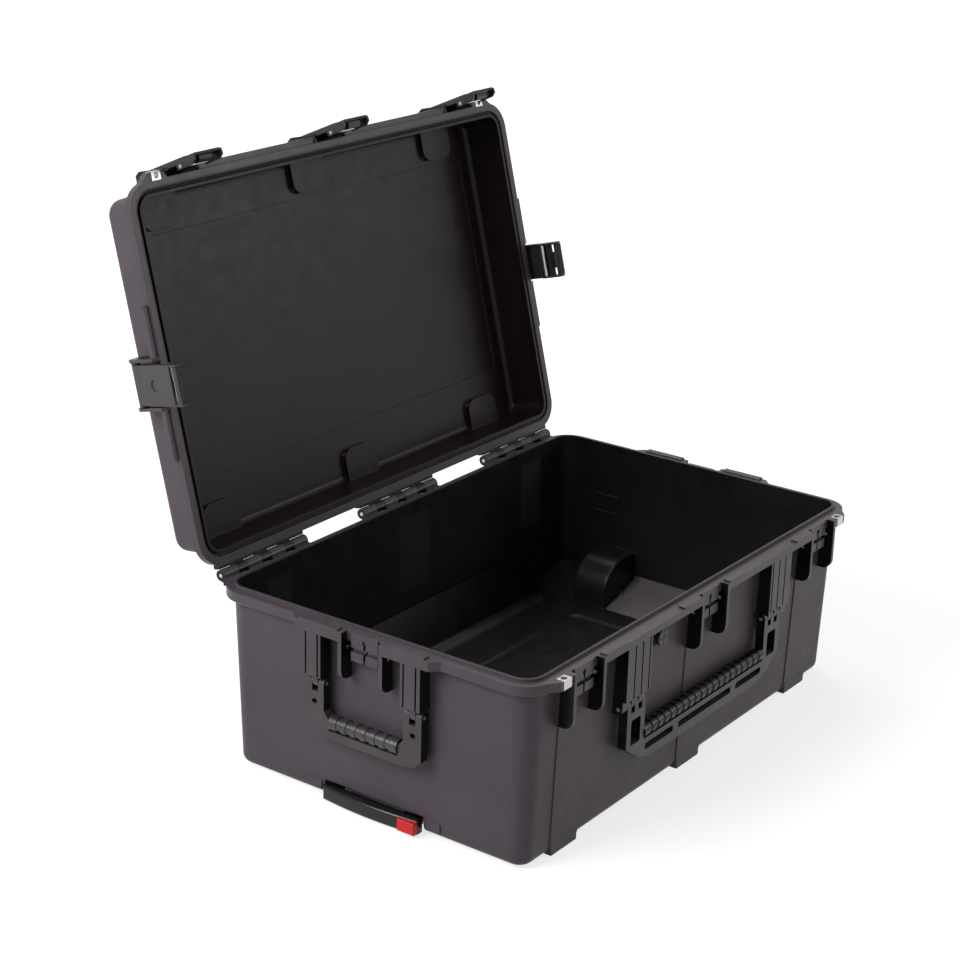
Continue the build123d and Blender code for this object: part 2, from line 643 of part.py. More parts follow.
with BuildPart() as lid_cavity:
    drafted(SHELL_X - WALL, SHELL_Y - WALL, WALL_R - WALL, LID_Z, LID_WALL_TOP, DRAFT_IN)
    fillet(lid_cavity.faces().sort_by(Axis.Z)[-1].edges(), INNER_EDGE_R)
    nest(NEST_W + 2 * WALL, NEST_Y - WALL, NEST_R + WALL, LID_TOP_Z - NEST_D - WALL, LID_TOP_Z, Mode.SUBTRACT)
    # the lip round the mouth
    with BuildSketch(Plane.XY.offset(LID_Z)) as lip:
        RectangleRounded(2 * RIM_X, 2 * RIM_Y, RIM_R)
        RectangleRounded(2 * (RIM_X - MOUTH_IN), 2 * (RIM_Y - MOUTH_IN), WALL_R - 1 - MOUTH_IN + TONGUE_IN,
                         mode=Mode.SUBTRACT)
    extrude(lip.sketch, amount=LID_RIM_H, mode=Mode.SUBTRACT)
    # the centre panel stands a little proud of the margins
    with BuildSketch(Plane.XY.offset(LID_WALL_TOP - 1)) as lid_panel_in:
        with Locations((0, (LID_PANEL_Y0 + LID_PANEL_Y1) / 2)):
            RectangleRounded(2 * (FAR_X - LID_PANEL_IN_X), LID_PANEL_Y1 - LID_PANEL_Y0, 12.0)
    extrude(lid_panel_in.sketch, amount=LID_PANEL_H + 1)
    ring_slab(RIM_X - MOUTH_IN, RIM_Y - MOUTH_IN, WALL_R - 1 - MOUTH_IN + TONGUE_IN, LID_Z - 1, LID_Z)

lid_ear = [
    (SHELL_IN + DRAFT_IN, LID_GAP), (1.0, LID_GAP), (-FIN_OUT, LID_GAP + 5.0),
    (-FIN_OUT, PIVOT_Z + 2.0), (-FIN_OUT + 5.0, EAR_H), (SHELL_IN + DRAFT_IN, EAR_H),
]
ear_x = LATCH_W / 2 + EAR_CLEAR
with BuildPart() as lid_ears:
    slab(lid_ear, ear_x, ear_x + EAR_T)
    slab(lid_ear, -ear_x - EAR_T, -ear_x)
    rod_x(-ear_x - EAR_T - 1, ear_x + EAR_T + 1, -PIVOT_OUT, PIVOT_Z, LATCH_PIN_R + PIN_FIT, Mode.SUBTRACT)

with BuildPart() as lid_fittings:
    for loc in FRONT + [END_LEFT, END_RIGHT]:
        add(lid_ears.part.moved(loc))
    # rails between the latches with thin gussets up the wall
    rail_x0 = ear_x + EAR_T - 0.5
    rail_len = LATCH_PITCH - 2 * rail_x0
    with Locations(*[(side * LATCH_PITCH / 2, -RIM_Y - RAIL_OUT / 2 + 1, (RAIL_Z + LID_RIM_TOP) / 2)
                     for side in (-1, 1)]):
        Box(rail_len, RAIL_OUT + 2, LID_RIM_TOP - RAIL_Z)
    gusset = [(-RAIL_OUT, LID_RIM_TOP - PART_Z - 1), (SHELL_IN + WALL, LID_RIM_TOP - PART_Z - 1),
              (SHELL_IN + WALL, LID_RIM_TOP - PART_Z + GUSSET_H), (SHELL_IN, LID_RIM_TOP - PART_Z + GUSSET_H)]
    with BuildPart(mode=Mode.PRIVATE) as one_gusset:
        slab(gusset, -GUSSET_T / 2, GUSSET_T / 2)
    for side in (-1, 1):
        for i in (-1, 0, 1):
            x = side * LATCH_PITCH / 2 + i * rail_len / 4
            add(one_gusset.part.moved(Location((x, -RIM_Y, PART_Z))))
    with Locations(*[(side * (RIM_X + RAIL_OUT / 2 - 1), end * (rail_x0 + 33.0), (RAIL_Z + LID_RIM_TOP) / 2)
                     for side in (-1, 1) for end in (-1, 1)]):
        Box(RAIL_OUT + 2, 66.0, LID_RIM_TOP - RAIL_Z)
    for loc in (END_LEFT, END_RIGHT):
        for x in (-86.0, -60.0, 60.0, 86.0):
            add(one_gusset.part.moved(loc * Location((x, 0, 0))))
    # padlock ears
    with BuildSketch(Plane.XY.offset(LID_Z)) as lid_lock_ear:
        with BuildLine():
            Polyline((LOCK_X - 22, -RIM_Y + 4), (LOCK_X - 12, -RIM_Y - EAR_OUT),
                     (LOCK_X + 13, -RIM_Y - EAR_OUT), (RIM_X - 12, -RIM_Y + 14),
                     (RIM_X - 30, -RIM_Y + 20), close=True)
        make_face()
        mirror(about=Plane.YZ)
    extrude(lid_lock_ear.sketch, amount=LID_RIM_H)

with BuildPart() as lid_cuts:
    nest(NEST_W, NEST_Y, NEST_R, LID_TOP_Z - NEST_D, LID_TOP_Z + LID_PANEL_H + 1)
    with BuildSketch(Plane.XY.offset(LID_Z - 1)) as groove:
        RectangleRounded(2 * (RIM_X - TONGUE_IN + GROOVE_GAP), 2 * (RIM_Y - TONGUE_IN + GROOVE_GAP),
                         WALL_R - 1 + GROOVE_GAP)
        RectangleRounded(2 * (RIM_X - TONGUE_IN - TONGUE_W - GROOVE_GAP),
                         2 * (RIM_Y - TONGUE_IN - TONGUE_W - GROOVE_GAP),
                         WALL_R - 1 - TONGUE_W - GROOVE_GAP, mode=Mode.SUBTRACT)
    extrude(groove.sketch, amount=GROOVE_H + 1)
    with Locations(*[(side * LOCK_X, -RIM_Y - LOCK_OUT, LID_Z + LID_RIM_H / 2) for side in (-1, 1)]):
        Box(LOCK_W, LOCK_D, LID_RIM_H + 2)

with BuildPart() as lid_shell:
    drafted(SHELL_X, SHELL_Y, WALL_R, LID_Z, LID_TOP_Z, DRAFT_IN)
    fillet(lid_shell.faces().sort_by(Axis.Z)[-1].edges(), FAR_EDGE_R)
    with BuildSketch(Plane.XY.offset(LID_TOP_Z - 1)) as lid_panel:
        with Locations((0, (LID_PANEL_Y0 + LID_PANEL_Y1) / 2)):
            RectangleRounded(2 * (FAR_X - LID_PANEL_IN_X), LID_PANEL_Y1 - LID_PANEL_Y0, 12.0)
    extrude(lid_panel.sketch, amount=LID_PANEL_H + 1)
    ring_slab(RIM_X, RIM_Y, RIM_R, LID_Z, LID_RIM_TOP)
    add(lid_fittings.part)
    add(lid_knuckles)
    add(lid_cavity.part, mode=Mode.SUBTRACT)
    add(lid_cuts.part, mode=Mode.SUBTRACT)
lid_closed = lid_shell.part
lid_open = lid_closed.moved(LID_OPEN)
lid_open.label = "lid_shell"
export_step(lid_open, "parts/lid_shell.step")

# Gasket in the lid groove
with BuildPart() as lid_gasket:
    with BuildSketch(Plane.XY.offset(PART_Z + TONGUE_H + GASKET_GAP)) as seal:
        out = GROOVE_GAP - GASKET_SIDE
        RectangleRounded(2 * (RIM_X - TONGUE_IN + out), 2 * (RIM_Y - TONGUE_IN + out), WALL_R - 1 + out)
        RectangleRounded(2 * (RIM_X - TONGUE_IN - TONGUE_W - out), 2 * (RIM_Y - TONGUE_IN - TONGUE_W - out),
                         WALL_R - 1 - TONGUE_W - out, mode=Mode.SUBTRACT)
    extrude(seal.sketch, amount=LID_Z + GROOVE_H - PART_Z - TONGUE_H - GASKET_GAP)
gasket = lid_gasket.part.moved(LID_OPEN)
gasket.label = "lid_gasket"
export_step(gasket, "parts/lid_gasket.step")

# Hinge pins
with BuildPart() as hinge_pins:
    for x in HINGE_X:
        rod_x(x - HINGE_LEN / 2, x + HINGE_LEN / 2, HINGE_Y, HINGE_Z, HINGE_PIN_R)
hinge_pins.part.label = "hinge_pins"
export_step(hinge_pins.part, "parts/hinge_pins.step")


# Padlock inserts
def inserts(z0, z1):
    """The two metal inserts of one rim."""
    with BuildPart() as made:
        with Locations(*[(side * LOCK_X, -RIM_Y - LOCK_OUT, (z0 + z1) / 2) for side in (-1, 1)]):
            Box(LOCK_W, LOCK_D, z1 - z0)
            Cylinder(LOCK_HOLE_R, z1 - z0 + 2, mode=Mode.SUBTRACT)
    return made.part


base_inserts = inserts(PART_Z - LOCK_EAR_T, PART_Z)
base_inserts.label = "padlock_inserts_base"
export_step(base_inserts, "parts/padlock_inserts_base.step")
lid_inserts = inserts(LID_Z, LID_RIM_TOP).moved(LID_OPEN)
lid_inserts.label = "padlock_inserts_lid"
export_step(lid_inserts, "parts/padlock_inserts_lid.step")
# Latches: a plate with cheeks, a cross bar, a sprung trigger and the pivot pin
LATCH_TILT = (
    Location((0, -PIVOT_OUT, PIVOT_Z)) * Location((0, 0, 0), (-LATCH_REST, 0, 0))
    * Location((0, PIVOT_OUT, -PIVOT_Z))
)
cheek_x = LATCH_W / 2 - CHEEK_T
barrel_x = LATCH_W / 2 + EAR_CLEAR - EAR_GAP
PLATE_EDGE_R = 1.2
CHEEK_IN = 1.0           # cheeks stand back from the outer face
cheek = [
    (-LATCH_OUT + CHEEK_IN, PIVOT_Z - 4), (-1.5, PIVOT_Z - 4), (-1.5, -RIM_H - 1.0), (5.5, -RIM_H - 2.0),
    (CHEEK_DEEP - 4.5, -CHEEK_LOW + 6), (0.0, -CHEEK_LOW), (-LATCH_OUT + CHEEK_IN + 1.5, -CHEEK_LOW),
    (-LATCH_OUT + CHEEK_IN, -CHEEK_LOW + 1.5),
]
with BuildPart() as latch_plate:
    with BuildSketch(Plane.XZ.offset(LATCH_OUT - LATCH_T)) as face:
        with Locations((0, (PIVOT_Z - LATCH_LOW) / 2)):
            RectangleRounded(LATCH_W, PIVOT_Z + LATCH_LOW, 2.0)
    extrude(face.sketch, amount=LATCH_T)
    fillet(latch_plate.faces().sort_by(Axis.Y)[0].edges(), PLATE_EDGE_R)
    slab(cheek, cheek_x, LATCH_W / 2)
    slab(cheek, -LATCH_W / 2, -cheek_x)
    rod_x(-barrel_x, barrel_x, -PIVOT_OUT, PIVOT_Z, BARREL_R)
    # stiffening ribs inside the plate
    with Locations(*[(x, -LATCH_OUT + LATCH_T + 1.0, 6.0) for x in (-8.0, 8.0)]):
        Box(2.0, 2.5, 50.0)
    with Locations(Location((0, -LATCH_OUT, 2.0), (90, 0, 0))):
        Cylinder(DIMPLE_R, 2 * DIMPLE_D, mode=Mode.SUBTRACT)
    rod_x(-barrel_x - 1, barrel_x + 1, -PIVOT_OUT, PIVOT_Z, LATCH_PIN_R + PIN_FIT, Mode.SUBTRACT)
    rod_x(-LATCH_W, LATCH_W, BAR_IN, BAR_Z, BAR_R + PIN_FIT, Mode.SUBTRACT)
    rod_x(-LATCH_W, LATCH_W, -TRIGGER_OUT, TRIGGER_Z, TRUNNION_R + PIN_FIT, Mode.SUBTRACT)

with BuildPart() as latch_bar:
    rod_x(-LATCH_W / 2, LATCH_W / 2, BAR_IN, BAR_Z, BAR_R)

with BuildPart() as latch_trigger:
    body_x = cheek_x - TRIGGER_GAP
    rod_x(-LATCH_W / 2, LATCH_W / 2, -TRIGGER_OUT, TRIGGER_Z, TRUNNION_R)
    rod_x(-body_x, body_x, -TRIGGER_OUT, TRIGGER_Z, TRIGGER_R)
    slab([(-TRIGGER_OUT - TRIGGER_R, TRIGGER_Z), (-TRIGGER_OUT - TRIGGER_R, -CHEEK_LOW + 0.5),
          (-TRIGGER_OUT, -CHEEK_LOW), (-TRIGGER_OUT + TRIGGER_R, TRIGGER_Z)], -body_x, body_x)
    tip_y = -STRIKE_OUT + TOOTH_T + NOSE_GAP
    tip_z = -STRIKE_H - NOSE_GAP
    slab([(-TRIGGER_OUT, TRIGGER_Z - TRIGGER_R), (-TRIGGER_OUT, TRIGGER_Z + TRIGGER_R - 0.3),
          (tip_y, TRIGGER_Z + TRIGGER_R - 0.3), (tip_y, tip_z), (tip_y + NOSE_T, tip_z),
          (tip_y + NOSE_T, TRIGGER_Z), (tip_y, TRIGGER_Z - TRIGGER_R)], -NOSE_W / 2, NOSE_W / 2)

with BuildPart() as latch_pin:
    rod_x(-ear_x - EAR_T, ear_x + EAR_T, -PIVOT_OUT, PIVOT_Z, LATCH_PIN_R)

LATCH_STATIONS = dict(zip(
    ("front_left", "front_mid", "front_right", "end_left", "end_right"),
    FRONT + [END_LEFT, END_RIGHT],
))
for station, loc in LATCH_STATIONS.items():
    for kind, made in (("latch", latch_plate), ("bar", latch_bar), ("trigger", latch_trigger)):
        piece = made.part.moved(LID_OPEN * loc * LATCH_TILT)
        piece.label = kind + "_" + station
        export_step(piece, "parts/" + kind + "_" + station + ".step")
with BuildPart() as latch_pins:
    for loc in LATCH_STATIONS.values():
        add(latch_pin.part.moved(LID_OPEN * loc))
latch_pins.part.label = "latch_pins"
export_step(latch_pins.part, "parts/latch_pins.step")
# Carry handles
RING_W = 9.0
RING_GAP = 5.6
RING_D = 1.4
FRAME_R = 8.0            # rounding of the lower frame corners


def handle_frame(arm, lower, opening, windows, window_z, slot, grip_z, pivot_z, count):
    """Handle frame folded against the wall, outward -Y."""
    _, moving = handle_spans(arm, arm, count)
    half_t = HANDLE_T / 2
    top = pivot_z - half_t - SLOT_H
    outline = [(arm[0], top), (arm[1], top), *lower]
    outline += [(-x, z) for x, z in reversed(outline)]
    hole = [*opening, (arm[0], top + 1)]
    hole += [(-x, z) for x, z in reversed(hole)]
    with BuildPart() as made:
        with BuildSketch(Plane.XZ.offset(half_t - HANDLE_IN)) as face:
            with BuildLine():
                Polyline(*outline, close=True)
            make_face()
            fillet(face.vertices().filter_by(lambda v: v.Z < top - 5), FRAME_R)
            with BuildSketch(Plane.XZ.offset(half_t - HANDLE_IN), mode=Mode.PRIVATE) as open_part:
                with BuildLine():
                    Polyline(*hole, close=True)
                make_face()
            add(open_part.sketch, mode=Mode.SUBTRACT)
            for x0, x1 in windows:
                with Locations(((x0 + x1) / 2, sum(window_z) / 2)):
                    RectangleRounded(x1 - x0, window_z[1] - window_z[0], 3.0, mode=Mode.SUBTRACT)
            with Locations(*[(side * sum(slot[0]) / 2, sum(slot[1]) / 2) for side in (-1, 1)]):
                RectangleRounded(slot[0][1] - slot[0][0], slot[1][1] - slot[1][0], 3.0, mode=Mode.SUBTRACT)
        extrude(face.sketch, amount=-HANDLE_T)
        rod_x(-arm[0] - 3, arm[0] + 3, HANDLE_IN, grip_z, ROD_R)
        for side in (-1, 1):
            for x0, x1 in moving:
                xa, xb = sorted((side * x0, side * x1))
                rod_x(xa, xb, HANDLE_IN, pivot_z, half_t)
                block(xa, xb, HANDLE_IN - half_t, HANDLE_IN + half_t, top - 1, pivot_z)
        rod_x(-arm[1] - 1, arm[1] + 1, HANDLE_IN, pivot_z, HANDLE_PIN_R + PIN_FIT, Mode.SUBTRACT)
    return made.part


def handle_grip(half_len, grip_z, grip_r):
    """Ribbed grip round the rod of a handle frame."""
    length = 2 * half_len
    rings = int(length / (RING_W + RING_GAP))
    pitch = length / rings
    points = [(-length / 2, ROD_R + GRIP_FIT)]
    for i in range(rings):
        x = -length / 2 + i * pitch
        if i:
            points += [(x + 0.5 * RING_GAP, grip_r - RING_D)]
        points += [(x + (0.5 * RING_GAP + 0.8 if i else 0.0), grip_r),
                   (x + pitch - (0.5 * RING_GAP + 0.8 if i < rings - 1 else 0.0), grip_r)]
        if i < rings - 1:
            points += [(x + pitch - 0.5 * RING_GAP, grip_r - RING_D)]
    points += [(length / 2, ROD_R + GRIP_FIT)]
    with BuildPart() as made:
        with BuildSketch(Plane.XZ) as half:
            with BuildLine():
                Polyline(*points, close=True)
            make_face()
        revolve(half.sketch, axis=Axis.X)
    return made.part.moved(Location((0, HANDLE_IN, grip_z)))


GRIP_END_GAP = 0.4
front_frame = handle_frame(FRONT_ARM, FRONT_LOWER, FRONT_HOLE, FRONT_WINDOWS, FRONT_WINDOW_Z, FRONT_SLOT,
                           FRONT_GRIP_Z, FRONT_PIVOT, FRONT_TEETH)
end_frame = handle_frame(END_ARM, END_LOWER, END_HOLE, (), (0, 0), END_SLOT,
                         END_GRIP_Z, END_PIVOT, END_TEETH)
front_grip = handle_grip(FRONT_HOLE[0][0] - GRIP_END_GAP, FRONT_GRIP_Z, FRONT_GRIP_R)
end_grip = handle_grip(END_HOLE[0][0] - GRIP_END_GAP, END_GRIP_Z, END_GRIP_R)
for name, frame, grip, loc in (
    ("front", front_frame, front_grip, FRONT_MID),
    ("end_left", end_frame, end_grip, END_LEFT),
    ("end_right", end_frame, end_grip, END_RIGHT),
):
    for kind, made in (("handle", frame), ("grip", grip)):
        piece = made.moved(loc)
        piece.label = kind + "_" + name
        export_step(piece, "parts/" + kind + "_" + name + ".step")

with BuildPart() as handle_pins:
    for loc, x0, x1, pivot_z in (
        (FRONT_MID, FRONT_ARM[0], FRONT_TOWER[1], FRONT_PIVOT),
        (END_LEFT, END_ARM[0], END_ARM[1], END_PIVOT),
        (END_RIGHT, END_ARM[0], END_ARM[1], END_PIVOT),
    ):
        with BuildPart(mode=Mode.PRIVATE) as pair:
            rod_x(x0, x1, HANDLE_IN, pivot_z, HANDLE_PIN_R)
            rod_x(-x1, -x0, HANDLE_IN, pivot_z, HANDLE_PIN_R)
        add(pair.part.moved(loc))
handle_pins.part.label = "handle_pins"
export_step(handle_pins.part, "parts/handle_pins.step")
# Tow handle: fixed tubes, sliding tubes, glides, grip, release button and bay cover
INNER_W = TUBE_W - 2 * TUBE_T - 2 * SLIDE_GAP
INNER_H = TUBE_H - 2 * TUBE_T - 2 * SLIDE_GAP
TUBE_SIDES = (-TUBE_Y, TUBE_Y)
INNER_X0 = GRIP_BACK - SOCKET_D


def tubes(x0, x1, w, h, t):
    """A pair of rectangular tubes along X."""
    with BuildPart() as made:
        with Locations(*[((x0 + x1) / 2, y, TUBE_Z) for y in TUBE_SIDES]):
            Box(x1 - x0, w, h)
            Box(x1 - x0 + 2, w - 2 * t, h - 2 * t, mode=Mode.SUBTRACT)
    return made.part


outer_tubes = tubes(RECESS_X, TUBE_X1, TUBE_W, TUBE_H, TUBE_T)
outer_tubes.label = "tow_outer_tubes"
export_step(outer_tubes, "parts/tow_outer_tubes.step")
inner_tubes = tubes(INNER_X0, INNER_X1, INNER_W, INNER_H, INNER_T)
inner_tubes.label = "tow_inner_tubes"
export_step(inner_tubes, "parts/tow_inner_tubes.step")

GLIDE_L = 14.0
PLUG_L = 15.0
with BuildPart() as tow_glides:
    with Locations(*[(INNER_X1 + GLIDE_L / 2, y, TUBE_Z) for y in TUBE_SIDES]):
        Box(GLIDE_L, INNER_W, INNER_H)
    with Locations(*[(INNER_X1 - PLUG_L / 2 + 1, y, TUBE_Z) for y in TUBE_SIDES]):
        Box(PLUG_L + 2, INNER_W - 2 * INNER_T - 0.2, INNER_H - 2 * INNER_T - 0.2)
tow_glides.part.label = "tow_glides"
export_step(tow_glides.part, "parts/tow_glides.step")

GRIP_EDGE_R = 4.0
with BuildPart() as tow_grip:
    with BuildSketch(Plane.XY.offset(GRIP_Z0)) as bar:
        with BuildLine():
            back = Line((GRIP_BACK, GRIP_Y), (GRIP_BACK, -GRIP_Y))
            side_a = Line(back @ 1, (GRIP_FACE + GRIP_BOW, -GRIP_Y))
            bow = ThreePointArc(side_a @ 1, (GRIP_FACE, 0), (GRIP_FACE + GRIP_BOW, GRIP_Y))
            Line(bow @ 1, back @ 0)
        make_face()
    extrude(bar.sketch, amount=GRIP_Z1 - GRIP_Z0)
    fillet(tow_grip.edges().group_by(Axis.X)[0] + tow_grip.edges().filter_by(Axis.Z).group_by(Axis.X)[0],
           GRIP_EDGE_R)
    with Locations(*[(GRIP_BACK - SOCKET_D / 2, y, TUBE_Z) for y in TUBE_SIDES]):
        Box(SOCKET_D, INNER_W, INNER_H, mode=Mode.SUBTRACT)
    pocket_x = INNER_X0 - 1.0
    with Locations((pocket_x - 10.0, BUTTON_Y, (GRIP_Z0 + GRIP_Z1) / 2)):
        Box(20.0, BUTTON_W + 2 * SLIDE_GAP, BUTTON_H + 2 * SLIDE_GAP, mode=Mode.SUBTRACT)
    # finger scoop along the back
    with Locations((GRIP_BACK, 0, GRIP_Z1)):
        Box(8.0, 2 * TUBE_Y - TUBE_W - 8, 8.0, mode=Mode.SUBTRACT)
tow_grip.part.label = "tow_grip"
export_step(tow_grip.part, "parts/tow_grip.step")

with BuildPart() as tow_button:
    button_x1 = pocket_x - SLIDE_GAP - BUTTON_STROKE
    face_x = GRIP_FACE + GRIP_BOW * (BUTTON_Y / GRIP_Y) ** 2 - BUTTON_OUT
    with Locations(((face_x + button_x1) / 2, BUTTON_Y, (GRIP_Z0 + GRIP_Z1) / 2)):
        Box(button_x1 - face_x, BUTTON_W, BUTTON_H)
    fillet(tow_button.faces().sort_by(Axis.X)[0].edges(), 1.2)
tow_button.part.label = "tow_button"
export_step(tow_button.part, "parts/tow_button.step")

with BuildPart() as tow_cover:
    with BuildSketch() as plate:
        with Locations(((BAY_X0 + BAY_X1) / 2, 0)):
            RectangleRounded(BAY_X1 - BAY_X0 + 2 * COVER_LAP, 2 * (BAY_Y + COVER_LAP), 6.0)
    extrude(plate.sketch, amount=STAND)
    with Locations(*SCREWS):
        Cylinder(SCREW_R + PIN_FIT, 4 * STAND, mode=Mode.SUBTRACT)
        Cylinder(SCREW_HEAD_R + PIN_FIT, 2 * (SCREW_HEAD_H + 0.3), mode=Mode.SUBTRACT)
tow_cover.part.label = "tow_cover"
export_step(tow_cover.part, "parts/tow_cover.step")
with BuildPart() as cover_screws:
    with BuildSketch(Plane.XY.offset(0.3)) as heads:
        with Locations(*SCREWS):
            Circle(SCREW_HEAD_R)
    extrude(heads.sketch, amount=SCREW_HEAD_H)
    with BuildSketch(Plane.XY.offset(0.3)) as shanks:
        with Locations(*SCREWS):
            Circle(SCREW_R)
    extrude(shanks.sketch, amount=SCREW_L)
cover_screws.part.label = "cover_screws"
export_step(cover_screws.part, "parts/cover_screws.step")

# Wheels
HUB_OUT_R = WHEEL_R - TYRE_T
HUB_W = 24.0
WEB_T = 8.0
BOSS_L = WELL_W - 2 * WHEEL_SIDE
SPOKE_HOLES = 6


def wheel(y):
    """Hub, tyre and bush of one wheel about its axle."""
    here = Location((WELL_X, y, WHEEL_Z), (90, 0, 0))
    with BuildPart() as hub:
        Cylinder(HUB_OUT_R, HUB_W)
        with Locations((0, 0, (HUB_W + WEB_T) / 4), (0, 0, -(HUB_W + WEB_T) / 4)):
            Cylinder(HUB_OUT_R - 4.0, (HUB_W - WEB_T) / 2, mode=Mode.SUBTRACT)
        Cylinder(HUB_R, BOSS_L)
        with PolarLocations((HUB_OUT_R + HUB_R) / 2 - 2.0, SPOKE_HOLES):
            Cylinder(4.5, WEB_T + 2, mode=Mode.SUBTRACT)
        Cylinder(BUSH_R, BOSS_L + 2, mode=Mode.SUBTRACT)
    with BuildPart() as tyre:
        Cylinder(WHEEL_R, TYRE_W)
        chamfer(tyre.edges().filter_by(GeomType.CIRCLE), 3.0)
        Cylinder(HUB_OUT_R, TYRE_W + 2, mode=Mode.SUBTRACT)
    with BuildPart() as bush:
        Cylinder(BUSH_R, BOSS_L)
        Cylinder(AXLE_R + PIN_FIT, BOSS_L + 2, mode=Mode.SUBTRACT)
    return [made.part.moved(here) for made in (hub, tyre, bush)]


for side, name in ((1, "left"), (-1, "right")):
    for piece, kind in zip(wheel(side * WELL_Y), ("hub", "tyre", "bush")):
        piece.label = "wheel_" + kind + "_" + name
        export_step(piece, "parts/wheel_" + kind + "_" + name + ".step")
with BuildPart() as wheel_axles:
    with Locations(*[Location((WELL_X, side * WELL_Y, WHEEL_Z), (90, 0, 0)) for side in (-1, 1)]):
        Cylinder(AXLE_R, WELL_W + 2 * WELL_WALL)
wheel_axles.part.label = "wheel_axles"
export_step(wheel_axles.part, "parts/wheel_axles.step")

# Pressure valve through the front wall
VALVE_OUT = 9.0
valve_wall = VALVE_SEAT_Y
with BuildPart() as valve_body:
    with Locations(Location((VALVE_X, -valve_wall - 1.5, VALVE_Z), (90, 0, 0))):
        Cylinder(VALVE_R, 3.0)
    with Locations(Location((VALVE_X, -valve_wall + WALL / 2 + 1.0, VALVE_Z), (90, 0, 0))):
        Cylinder(VALVE_STEM_R, WALL + 6.0)
    with Locations(Location((VALVE_X, -valve_wall, VALVE_Z), (90, 0, 0))):
        Cylinder(2.0, 40.0, mode=Mode.SUBTRACT)
valve_body.part.label = "valve_body"
export_step(valve_body.part, "parts/valve_body.step")
with BuildPart() as valve_cap:
    with Locations(Location((VALVE_X, -valve_wall - (3.0 + VALVE_OUT) / 2, VALVE_Z), (90, 0, 0))):
        Cylinder(VALVE_R - 1.5, VALVE_OUT - 3.0)
    chamfer(valve_cap.faces().sort_by(Axis.Y)[0].edges(), 1.0)
    with Locations((VALVE_X, -valve_wall - VALVE_OUT, VALVE_Z)):
        Box(2 * VALVE_R, 1.6, 1.6, mode=Mode.SUBTRACT)
        Box(1.6, 1.6, 2 * VALVE_R, mode=Mode.SUBTRACT)
valve_cap.part.label = "valve_cap"
export_step(valve_cap.part, "parts/valve_cap.step")
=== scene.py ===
"""Looks of the waterproof utility case, in metres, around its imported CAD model.

The case stands open on a pale studio floor. Every finish is procedural and follows the object's own
coordinates, so it stays with its part when the lid, the handles or the latches move.
"""

import json
import math

import bpy
from mathutils import Matrix, Vector


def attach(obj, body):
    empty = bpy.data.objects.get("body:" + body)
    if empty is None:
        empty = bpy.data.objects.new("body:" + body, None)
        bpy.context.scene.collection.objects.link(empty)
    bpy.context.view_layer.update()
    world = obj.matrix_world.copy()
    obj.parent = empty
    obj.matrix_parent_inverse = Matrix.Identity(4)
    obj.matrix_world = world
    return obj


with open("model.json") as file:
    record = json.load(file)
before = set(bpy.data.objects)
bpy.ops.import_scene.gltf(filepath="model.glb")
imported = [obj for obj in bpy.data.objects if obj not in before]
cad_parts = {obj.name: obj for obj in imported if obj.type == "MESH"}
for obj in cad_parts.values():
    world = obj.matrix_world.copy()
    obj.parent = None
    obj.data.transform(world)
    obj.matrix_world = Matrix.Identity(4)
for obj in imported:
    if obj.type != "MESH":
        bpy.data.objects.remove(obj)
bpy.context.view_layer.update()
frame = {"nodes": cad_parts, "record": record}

NODES = frame["nodes"]

# Where the closed lid's space is: the lid is packed open, turned about its hinge line.
HINGE_Y, HINGE_Z = 0.2605, 0.254
LID_OPEN = math.radians(104)
# The shell walls lean in by the drafts towards the floor and towards the lid top.
CORNER_X, CORNER_Y = 0.356, 0.209    # middles of the rounded corners, the same at every height
WALL_MID_R, WALL_OUT_R = 0.026, 0.028
WALL_OUT_X, WALL_OUT_Y = 0.384, 0.237
RIM_UNDER, BASE_DRAFT = 0.238, 8 / 235
LID_MOUTH, LID_DRAFT = 0.2533, 8 / 65.7
FLOOR_MID, LID_TOP_MID, LID_PANEL_MID, NEST_MID = 0.0272, 0.3165, 0.3183, 0.3095
LID_PANEL_X, LID_PANEL_Y = 0.349, (-0.175, 0.151)
NEST_HALF, NEST_Y, NEST_PITCH = 0.031, 0.186, 0.292
HINGE_SIDE = 0.2485      # behind the rims there are only the hinge knuckles
PROUD = 0.0028           # what stands this far outside the walls is rim, rib or fitting

EDGE_SEEN = (0.985, 0.80)    # cosines of the rounding's turn where the mask of an edge begins and is full
SHELL_EDGE_WEAR_HIGHLIGHT, FITTING_EDGE_WEAR_HIGHLIGHT = (96, 91, 95), (92, 90, 92)    # screen colours of edges, lighter where worn and as a painted highlight along the rounded edges
STREAK_SHADE = 22            # how much darker the streaks of brushed metal are, of 255


# ---------------------------------------------------------------- finishes


def lin(r, g, b):
    """A screen colour, 0 to 255 a channel, as linear light."""
    def one(c):
        c /= 255
        return c / 12.92 if c <= 0.04045 else ((c + 0.055) / 1.055) ** 2.4
    return one(r), one(g), one(b), 1.0


